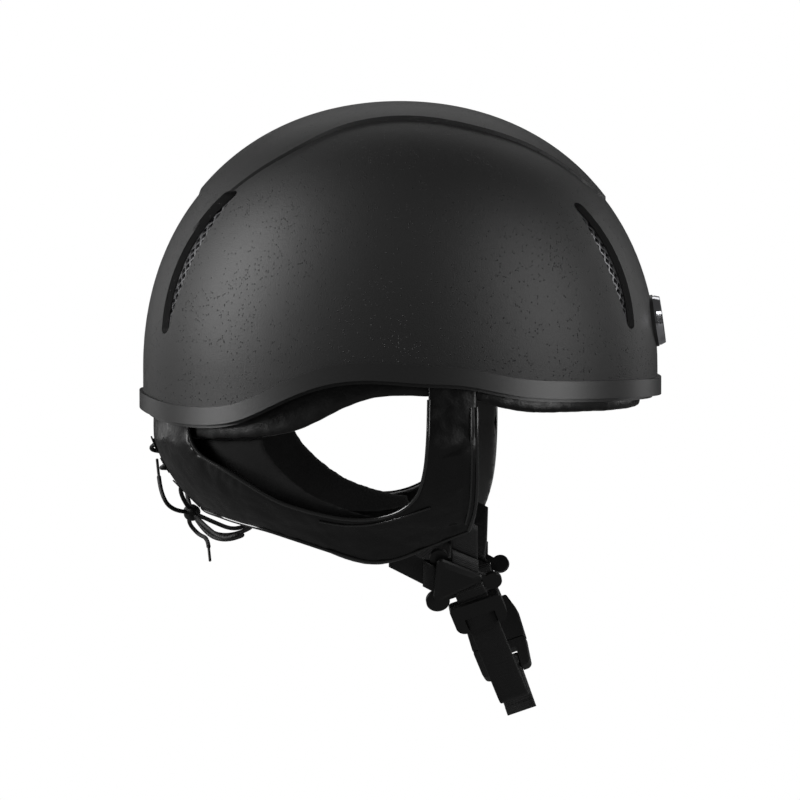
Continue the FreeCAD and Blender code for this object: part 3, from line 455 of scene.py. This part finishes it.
def seated(path, skin, lift):
    """Moves a path onto the padded harness face and a little out of it, at short steps."""
    stride = 0.004
    centre_x = 0.02
    clear = 0.02
    reach = 0.03
    spots = []
    for first, last in zip(path, path[1:]):
        steps = max(1, round((last - first).length / stride))
        spots += [first.lerp(last, step / steps) for step in range(steps)]
    spots.append(path[-1])
    seats = []
    for spot in spots:
        outward = (spot - Vector((centre_x, 0.0, spot.z))).normalized()
        hit = skin.ray_cast(spot + outward * clear, -outward, reach)[0]
        seats.append((hit or skin.find_nearest(spot)[0]) + outward * lift)
    for _ in range(3):
        inner = [
            (before + seat * 2 + after) / 4
            for before, seat, after in zip(seats, seats[1:], seats[2:])
        ]
        seats = [seats[0]] + inner + [seats[-1]]
    return seats


def tube(name, spots, radius, material):
    """A round cord or bead along a smooth curve."""
    curve = bpy.data.curves.new(name, "CURVE")
    curve.dimensions = "3D"
    curve.bevel_depth = radius
    curve.bevel_resolution = 3
    curve.resolution_u = 8
    curve.use_fill_caps = True
    spline = curve.splines.new("NURBS")
    spline.points.add(len(spots) - 1)
    for point, spot in zip(spline.points, spots):
        point.co = (*spot, 1.0)
    spline.order_u = 3
    spline.use_endpoint_u = True
    curve.materials.append(material)
    return add_object(name, curve)


front_seam = [beside(*spot) for spot in (
    (45.9, -14.0), (45.9, -30.0), (45.8, -46.0), (44.2, -68.0), (40.2, -79.5),
)]
front_bead = [beside(*spot) for spot in (
    (43.0, -14.0), (43.0, -30.0), (42.9, -46.0), (41.4, -66.0), (38.6, -76.0),
)]
bottom_seam = [beside(*spot) for spot in (
    (40.4, -80.2), (20.0, -88.5), (2.0, -96.4), (-12.0, -98.2), (-40.0, -89.6), (-66.0, -81.6),
    (-90.0, -77.2),
)] + [behind(*spot) for spot in ((-36.0, -76.4), (-22.0, -75.4), (-10.0, -74.2))]
ear_stitch = [beside(*spot) for spot in (
    (21.5, -66.5), (12.0, -69.8), (2.0, -73.6), (-10.0, -76.6), (-24.0, -77.2), (-36.0, -75.0),
)]
nape_seam = [behind(-9.9, z) for z in (-24.0, -36.0, -48.0, -60.0, -73.5)]
ear_seam = [beside(*spot) for spot in (
    (-104.0, -26.0), (-103.0, -34.0), (-98.6, -42.3), (-88.0, -47.5), (-74.0, -55.0),
    (-61.0, -63.4), (-43.0, -69.7), (-24.0, -73.7), (-8.0, -73.7), (6.5, -69.0), (16.0, -60.0),
    (20.1, -45.0), (21.5, -30.0), (21.9, -10.0),
)]
gathered_seam = ear_seam[:5]

# Each crease: start and end in the side view, depth and half width, in millimetres.
creases = [
    ((23.0, -22.0), (27.0, -31.0), 1.3, 1.4), ((27.0, -25.0), (35.0, -30.0), 1.2, 1.3),
    ((31.0, -23.0), (41.0, -27.0), 1.1, 1.3), ((26.0, -40.0), (38.0, -33.0), 1.5, 1.5),
    ((33.0, -38.0), (41.0, -34.0), 0.9, 1.2), ((38.0, -58.0), (38.5, -72.0), 1.0, 1.4),
    ((23.0, -33.0), (24.0, -44.0), 0.6, 1.8), ((31.0, -78.5), (34.0, -77.5), 1.6, 2.0),
    ((-70.0, -66.0), (-58.0, -72.0), 0.5, 3.0), ((-90.0, -52.0), (-83.0, -60.0), 0.7, 2.2),
    ((-97.0, -46.0), (-93.0, -56.0), 0.8, 2.0), ((-20.0, -82.0), (8.0, -80.0), 0.4, 5.0),
    ((-60.0, -76.0), (-30.0, -83.0), 0.5, 4.0),
]


def edge_tree(paths):
    """Closest-point lookup over several seams, with how far along each sample lies."""
    parts = 12
    samples = []
    reach = 0.0
    for path in paths:
        for first, last in zip(path, path[1:]):
            for step in range(parts):
                along = reach + (last - first).length * step / parts
                samples.append((first.lerp(last, step / parts), along))
            reach += (last - first).length
    tree = kdtree.KDTree(len(samples))
    for index, (spot, _) in enumerate(samples):
        tree.insert(spot, index)
    tree.balance()
    return tree, [along for _, along in samples]


def crease_depth(x, z):
    """How far the creases sink the face at a spot of the side view, in millimetres."""
    depth_here = 0.0
    for start, end, depth, half in creases:
        run = Vector(end) - Vector(start)
        offset = Vector((x, z)) - Vector(start)
        share = min(1.0, max(0.0, offset.dot(run) / run.length_squared))
        gap = (offset - run * share).length
        fade = 0.4 + 0.6 * math.sin(math.pi * min(max(share, 0.1), 0.9))
        depth_here += depth * math.exp(-(gap / half) ** 2) * fade
    return depth_here


def harness_form(piece):
    """Swells the outer face between its seams, and creases, gathers and tucks it."""
    puff, puff_run = 0.9, 0.006
    seam_sink = 0.5
    tuck_level, tuck_run = -37.0, 9.0
    gather_rise, gather_pitch, gather_place, gather_run = 0.2, 0.0055, 0.003, 0.006
    points, normals = read_points(piece)
    edges, _ = edge_tree([front_seam, bottom_seam, nape_seam, ear_seam])
    gathers, gather_along = edge_tree([gathered_seam])
    moved = points.copy()
    for i, (point, normal) in enumerate(zip(points, normals)):
        spot = Vector(point)
        facing = Vector(normal).dot(Vector((spot.x, spot.y * 1.3, 0)).normalized())
        if facing < 0.2:
            continue
        lift = puff * (1 - math.exp(-edges.find(spot)[2] / puff_run)) - seam_sink
        lift -= crease_depth(spot.x / mm, spot.z / mm)
        tuck = min(1.0, max(0.0, (spot.z / mm - tuck_level) / tuck_run))
        lift = lift * (1 - tuck) - seam_sink * tuck
        _, index, far = gathers.find(spot)
        turn = gather_along[index] / gather_pitch * 2 * math.pi + 3.0 * noise.noise(spot * 55.0)
        near_gather = math.exp(-((far - gather_place) / gather_run) ** 2)
        lift += gather_rise * math.sin(turn) * near_gather * (1 - tuck)
        lift += 0.5 * noise.noise(spot * 70.0) + 0.25 * noise.noise(spot * 190.0)
        moved[i] += normal * lift * mm * min(1.0, facing * 2)
    write_points(piece, moved)


def mirrored(piece, name):
    """The same piece for the other side, with its own mesh."""
    other = add_object(name, piece.data.copy())
    other.data.transform(Matrix.Scale(-1, 4, (0, 1, 0)))
    if other.type == "MESH":
        other.data.flip_normals()
    return other


panel_right = soft_copy("harness_panel_right", "harness_right", 1.3 * mm)
smooth_piece(panel_right, 8)
harness_form(panel_right)
smooth_piece(panel_right, 2)
panel_skin = bvhtree.BVHTree.FromPolygons(
    [vertex.co for vertex in panel_right.data.vertices],
    [tuple(face.vertices) for face in panel_right.data.polygons],
)
panel_left = mirrored(panel_right, "harness_panel_left")

strap_lining, shader = new_material("smooth_strap_lining", "505050", 0.6, Sheen_Weight=0.2)
relief(strap_lining, shader, texture(strap_lining, "Noise", 900.0)["Fac"], 0.2, 0.0002)
strap_back = 20.0 * mm
for panel, node in ((panel_right, "harness_right"), (panel_left, "harness_left")):
    finish_mesh(panel, leatherette, node)
    panel.data.materials.append(strap_lining)
    for face in panel.data.polygons:
        inner_face = face.normal.y * face.center.y < -0.6 * abs(face.center.y)
        if face.center.x > strap_back and inner_face:
            face.material_index = 1

# Piping base colour 181818 is lighter than the leatherette's 0c0c0c: a painted highlight along the
# seams, over the real shine of its coat.
piping, shader = new_material(
    "glazed_piping_painted_highlight", "181818", 0.2, Specular_IOR_Level=0.7, Coat_Weight=0.6, Coat_Roughness=0.12,
)
relief(piping, shader, texture(piping, "Noise", 700.0)["Fac"], 0.1, 0.0001)
for name, path, radius, lift in (
    ("piping_front", front_seam, 1.0, 0.3), ("bead_front", front_bead, 0.6, 0.4),
    ("piping_bottom", bottom_seam, 1.0, 0.3), ("piping_nape", nape_seam, 1.0, 0.3),
    ("piping_ear", ear_seam, 1.0, 0.3), ("bead_ear", ear_stitch, 0.55, 0.6),
):
    seats = seated(path, panel_skin, lift * mm)
    right_tube = tube(name + "_right", seats, radius * mm, piping)
    for piece in (right_tube, mirrored(right_tube, name + "_left")):
        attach(piece, "cap")


# Nape lining: a soft pad of the same cloth as the headband, inside the back of the harness. It
# ripples a little over its foam.
ripple_height = 0.6 * mm
nape_cushion = soft_copy("nape_cushion", "nape_lining", 1.1 * mm)
smooth_piece(nape_cushion, 24)
points, normals = read_points(nape_cushion)
ripple = np.array([noise.noise(Vector(point) * 45.0) for point in points])
write_points(nape_cushion, points + normals * (ripple_height * ripple)[:, None])
finish_mesh(nape_cushion, lining_cloth, "nape_lining")


# Nape lacing: lacquered brass eyelets with a dull glint, and one round braided lace, crossed
# through them and tied in a bow whose loops and ends hang free below. The braid is matt and
# finely knobbed; its smoked plastic tips are glossy.
lacquer, shader = new_material("black_lacquered_brass", "1a1a1a", 0.3, Metallic=0.6)
patchy_roughness(lacquer, shader, 600.0, 0.22, 0.45)
dress("nape_eyelets", lacquer)

braid, shader = new_material("braided_polyester", "0c0c0c", 0.6, Sheen_Weight=0.05)
relief(braid, shader, texture(braid, "Voronoi", 1300.0)["Distance"], 0.7, 0.0003)

eyelet_rows = [-40.0, -51.0, -62.0]
eyelet_side = 16.0
lace_radius = 1.15
lace_over = lace_radius + 1.6
lace_under = -(harness_thick + lace_radius + 0.9)
cross_side = 9.4
cross_part = 1.2


def nape_spot(y, z, level):
    """A spot at a level over the harness face beside the nape opening, in millimetres."""
    long, wide, lean = cup_ring(z)
    spot = behind(y, z) / mm
    outward = Vector((spot.x / long ** 2, spot.y / wide ** 2, 0)).normalized()
    outward = (outward * math.cos(lean) - Vector((0, 0, math.sin(lean)))).normalized()
    return spot + outward * level


def crossing(first, final, side, lift):
    """The lace between two rows: over the edge on one side, under it on the other."""
    drop = eyelet_rows[final] - eyelet_rows[first]
    return [
        nape_spot(way * cross_side, eyelet_rows[first] + drop * share + lift, level)
        for share, way, level in ((0.2, side, lace_over), (0.8, -side, lace_under))
    ]


def through(row, side):
    """Over and under an eyelet."""
    z = eyelet_rows[row]
    return [nape_spot(side * eyelet_side, z, level) for level in (lace_over, lace_under)]


knot = Vector((-110.5, 0.0, -77.5))
knot_half = Vector((4.37, 5.29, 4.37))
knot_gap = 0.1


def knot_face(spot):
    """Where a lace that comes from a spot meets the knot."""
    way = Vector(spot) - knot
    reach = math.sqrt(sum((way[i] / knot_half[i]) ** 2 for i in range(3)))
    return knot + way / reach + way.normalized() * knot_gap


lace_route = [knot_face(through(2, -1)[0])]
lace_route += through(2, -1) + crossing(1, 2, 1, -cross_part)[::-1]
lace_route += through(1, 1) + crossing(0, 1, -1, -cross_part)[::-1]
lace_route += through(0, -1) + through(0, 1)[::-1] + crossing(0, 1, 1, cross_part)
lace_route += through(1, -1)[::-1] + crossing(1, 2, -1, cross_part) + through(2, 1)[::-1]
lace_route += [knot_face(through(2, 1)[0])]
lace_run = tube("lace_run", [spot * mm for spot in lace_route], lace_radius * mm, braid)
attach(lace_run, "cap")
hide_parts("nape_lace")

wrap_height = 0.28 * mm
bpy.ops.object.select_all(action="DESELECT")
bpy.ops.mesh.primitive_uv_sphere_add(segments=32, ring_count=20, radius=1.0, location=(0, 0, 0))
knot_piece = bpy.context.object
knot_piece.name = "lace_bow_knot"
points, normals = read_points(knot_piece)
wrap = np.sin(points[:, 1] * 7.0 + points[:, 2] * 4.5)
form = points * np.array(knot_half) * mm + normals * (wrap_height * wrap)[:, None]
write_points(knot_piece, form + np.array(knot) * mm)
finish_mesh(knot_piece, braid, "lace_knot")


def cord_length(piece):
    """Real length of a cord's centre line."""
    plain = add_object("centre_line", piece.data.copy())
    plain.data.bevel_depth = 0.0
    plain.data.use_fill_caps = False
    line = bpy.data.meshes.new_from_object(plain)
    spots = [vertex.co for vertex in line.vertices]
    bpy.data.objects.remove(plain)
    return sum((last - first).length for first, last in zip(spots, spots[1:]))


loop_route = [
    (-102.5, -5.2, -88.5), (-92.0, -12.5, -91.5), (-80.5, -20.5, -87.5),
    (-82.0, -30.0, -86.0), (-91.0, -26.0, -89.5), (-101.0, -15.5, -84.0),
]
upper_route = [(-119.5, -13.5, -75.5), (-125.0, -16.5, -66.5), (-127.0, -8.0, -58.0)]
lower_route = [
    (-114.5, 13.0, -83.5), (-109.0, 16.5, -91.0), (-103.0, 8.0, -92.0), (-101.8, 1.5, -96.0),
]
for name, node, route, side, aglet in (
    ("bow_loop_right", "lace_loop_right", loop_route, 1, None),
    ("bow_loop_left", "lace_loop_left", loop_route, -1, None),
    ("bow_end_upper", "lace_end_upper", upper_route, 1, "aglet_upper"),
    ("bow_end_lower", "lace_end_lower", lower_route, 1, "aglet_lower"),
):
    spots = [Vector((x, y * side, z)) for x, y, z in route]
    spots = [knot_face(spots[0])] + spots
    if not aglet:
        spots.append(knot_face(spots[-1]))
    piece = tube(name, [spot * mm for spot in spots], lace_radius * mm, braid)
    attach(piece, "cap")
    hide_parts(node)
    cord_length(piece)

smoked_sleeve, shader = new_material("smoked_plastic_sleeve", "1c1c1c", 0.2, Coat_Weight=0.3)
relief(smoked_sleeve, shader, texture(smoked_sleeve, "Noise", 500.0)["Fac"], 0.2, 0.0002)
dress("aglet_upper", smoked_sleeve)
dress("aglet_lower", smoked_sleeve)


# Strap dividers: moulded acetal triangles. Each has three slotted bars and a raised cap that
# hides them. The spark-eroded mould leaves a fine satin that softens the light on their edges.
acetal, shader = new_material("moulded_acetal", "141414", 0.38)
relief(acetal, shader, texture(acetal, "Noise", 1100.0)["Fac"], 0.2, 0.0002)
dress("strap_divider_right", acetal)
dress("strap_divider_left", acetal)


# Harness tabs: short ends of woven nylon webbing, sewn into the harness and folded round the bars
# of the dividers.
web_width = 16.0
web_thick = 1.2
web_clearance = 0.2
plate_half = 1.2
bar_half = 1.2
wrap_ease = 0.7
tab_wrap = plate_half + web_clearance + wrap_ease + web_thick / 2

tilt = math.radians(19.5)
down = Vector((math.sin(tilt), 0.0, -math.cos(tilt)))
across = Vector((math.cos(tilt), 0.0, math.sin(tilt)))
strap_origin = Vector((39.0, 0.0, -113.0))
half_span = 40.0
loop_depth = 66.0
curl = 8.0
curl_level = loop_depth - curl - web_thick / 2
inward = math.atan2(half_span, curl_level) - math.asin(curl / math.hypot(half_span, curl_level))
rise = -down * math.cos(inward) + Vector((0, -1, 0)) * math.sin(inward)
outward = across.cross(rise)


def rounded_line(path):
    """Samples of a path with rounded corners: (a, b, radius) in, (a, b) out."""
    small_radius = 0.8
    arc_step = 0.16
    nearly_straight = math.radians(89.5)
    line = [Vector(path[0][:2])]
    for before, corner, after in zip(path, path[1:], path[2:]):
        spot = Vector(corner[:2])
        radius = corner[2] if len(corner) > 2 else small_radius
        back = (Vector(before[:2]) - spot).normalized()
        ahead = (Vector(after[:2]) - spot).normalized()
        half = back.angle(ahead) / 2
        if half > nearly_straight:
            line.append(spot)
            continue
        centre = spot + (back + ahead).normalized() * (radius / math.sin(half))
        first = spot + back * (radius / math.tan(half)) - centre
        final = spot + ahead * (radius / math.tan(half)) - centre
        sweep = first.angle_signed(final)
        steps = max(2, int(abs(sweep) / arc_step))
        for step in range(steps + 1):
            turn = -sweep * step / steps
            line.append(centre + Vector((
                first.x * math.cos(turn) - first.y * math.sin(turn),
                first.x * math.sin(turn) + first.y * math.cos(turn),
            )))
    line.append(Vector(path[-1][:2]))
    return line


# Cross section of the webbing: place across it in millimetres, and share of the half thickness.
web_half = web_width / 2
web_face = [
    (-web_half, 0.3), (-web_half + 0.25, 0.8), (-web_half + 1.0, 1.0), (-web_half / 3, 0.94),
    (web_half / 3, 0.94), (web_half - 1.0, 1.0), (web_half - 0.25, 0.8), (web_half, 0.3),
]
web_section = web_face + [(place, -share) for place, share in reversed(web_face)]


def webbing(name, path, spot_at):
    """A flat woven strap along a path, with soft edges and a UV map along its threads."""
    longest_step = 3.0
    line = rounded_line(path)
    spread = []
    for first, last in zip(line, line[1:]):
        parts = max(1, int((last - first).length / longest_step))
        spread += [first.lerp(last, part / parts) for part in range(parts)]
    spread.append(line[-1])
    build = bmesh.new()
    layer = build.loops.layers.uv.new("thread")
    rows = []
    reaches = [0.0]
    for i, spot in enumerate(spread):
        before = spread[max(i - 1, 0)]
        after = spread[min(i + 1, len(spread) - 1)]
        if i:
            reaches.append(reaches[-1] + (spot - before).length)
        way = (after - before).normalized()
        side = Vector((-way.y, way.x))
        flats = [(spot + side * (share * web_thick / 2), place) for place, share in web_section]
        rows.append([build.verts.new(spot_at(*flat, place) * mm) for flat, place in flats])
    count = len(web_section)
    for i in range(len(rows) - 1):
        for k in range(count):
            corners = ((i, k), (i, k + 1), (i + 1, k + 1), (i + 1, k))
            face = build.faces.new([rows[row][spot % count] for row, spot in corners])
            for loop, (row, spot) in zip(face.loops, corners):
                loop[layer].uv = (reaches[row] * mm, web_section[spot % count][0] * mm)
    for row in (rows[0], rows[-1]):
        face = build.faces.new(row)
        for loop, (place, share) in zip(face.loops, web_section):
            loop[layer].uv = (share * web_thick / 2 * mm, place * mm)
    bmesh.ops.recalc_face_normals(build, faces=build.faces)
    mesh = bpy.data.meshes.new(name)
    build.to_mesh(mesh)
    build.free()
    mesh.materials.append(webbing_nylon)
    return add_object(name, mesh)


def stand_in(piece, node):
    """Smooth webbing in place of a CAD node."""
    smooth_shading(piece)
    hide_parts(node)


def side_spot(q, r, n, side):
    """A spot in the frame of one side of the chin loop; side is -1 right and 1 left."""
    spot = strap_origin + Vector((0, -half_span, 0)) + across * q + rise * r + outward * n
    return Vector((spot.x, -spot.y * side, spot.z))


def tab_piece(name, start, final, way, length, drop, side):
    """A tab folded round the divider's bar between two corners, running off along a way."""
    fold_end, fold_close, layer_place = 3.0, 9.0, 1.2
    along = (final - start).normalized()
    middle = (start + final) * 0.5 + along * (tab_wrap / 2 * way.dot(along))

    def spot_at(a, b, c):
        flat = middle + way * a + along * c
        return side_spot(flat.x, flat.y, b, side)

    return webbing(name, [
        (fold_close, layer_place), (fold_end, tab_wrap), (-tab_wrap, tab_wrap, tab_wrap),
        (-tab_wrap, -tab_wrap, tab_wrap), (fold_end, -tab_wrap), (fold_close, -layer_place),
        (length, drop),
    ], spot_at)


corner_left = Vector((-17.5, 0.0))
corner_right = Vector((13.0, 0.8))
corner_top = Vector((-8.5, 25.0))
for side, hand in ((-1, "right"), (1, "left")):
    for end, start, final, way, length, drop in (
        ("front", corner_right, corner_top, Vector((0.33, 0.944)), 27.0, -3.6),
        ("rear", corner_top, corner_left, Vector((-0.70, 0.714)), 28.0, -6.0),
    ):
        piece = tab_piece(end + "_webbing_" + hand, start, final, way, length, drop, side)
        stand_in(piece, end + "_tab_" + hand)
        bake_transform(piece)


# Chin strap: one woven nylon strap. It folds round the right divider, passes through the slider,
# round under the chin, and folds round the plug's bar, leaving a tail with a sewn hem.
def loop_spot(y, up, c):
    """A spot in the plane of the chin loop."""
    return strap_origin + Vector((0, 1, 0)) * y - down * up + across * c


def near_side(n, r):
    """Out of and along the right side of the loop, as a place in its plane."""
    return (
        -half_span - n * math.cos(inward) - r * math.sin(inward),
        -n * math.sin(inward) + r * math.cos(inward),
    )


def far_side(n, r):
    y, up = near_side(n, r)
    return (-y, up)


slider_place = 6.5
slider_length = 17.0
slider_end = slider_place + slider_length
socket_place = 20.0
socket_length = 24.0
buckle_clearance = 0.3
plug_bar = socket_place + socket_length + buckle_clearance + 10.0
inner_line = -(web_thick / 2 + 0.05)
outer_line = web_thick / 2 + 0.3
fold = (tab_wrap,)
bottom = -half_span / math.tan(inward) + inner_line / math.sin(inward)
tail_top = far_side(tab_wrap, -plug_bar - 5.0)
tail_end = -75.0
chin_webbing = webbing("chin_webbing", [
    near_side(outer_line, -slider_end - 3.0), near_side(outer_line, -slider_place + 1.5),
    near_side(tab_wrap, -3.0), near_side(tab_wrap, tab_wrap) + fold,
    near_side(-tab_wrap, tab_wrap) + fold, near_side(-tab_wrap, -3.0),
    near_side(inner_line, -slider_place + 1.5),
    (0.0, bottom, curl),
    far_side(inner_line, -plug_bar - 7.0), far_side(-tab_wrap, -plug_bar - 3.0),
    far_side(-tab_wrap, -plug_bar + tab_wrap) + fold,
    far_side(tab_wrap, -plug_bar + tab_wrap) + fold,
    tail_top + (3.0,), (tail_top[0] + 0.5, tail_end),
], loop_spot)
stand_in(chin_webbing, "chin_strap")
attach(chin_webbing, "chin_sling")

hem_side = tail_top[0] + 0.4 - web_thick
hem = webbing("tail_hem", [(hem_side, tail_end + 4.6), (hem_side, tail_end + 0.2)], loop_spot)
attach(hem, "chin_sling")


# Slider: an acetal buckle of the same finish as the dividers. Its cover plate and two bars keep
# the folded webbing flat, and it slides along the strap.
dress("strap_slider", acetal)


# Buckle: a side-release buckle of the same acetal. A short sewn loop of webbing holds its socket
# to the left divider; the plug sits on the chin strap, with a springy prong on each side.
end_wall = 1.2
socket_bar = -socket_place - end_wall - bar_half
turn_radius = tab_wrap - 0.05
low_turn = socket_bar - tab_wrap
short_loop = webbing("buckle_webbing", [
    (-8.0, tab_wrap), (tab_wrap, tab_wrap, turn_radius), (tab_wrap, -tab_wrap, turn_radius),
    (low_turn, -tab_wrap, turn_radius), (low_turn, tab_wrap, turn_radius), (-8.3, tab_wrap),
], lambda a, b, c: side_spot(c, a, b, 1))
stand_in(short_loop, "buckle_strap")
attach(short_loop, "buckle_half")
for name in ("buckle_socket", "buckle_plug", "buckle_prong_front", "buckle_prong_rear"):
    dress(name, acetal)
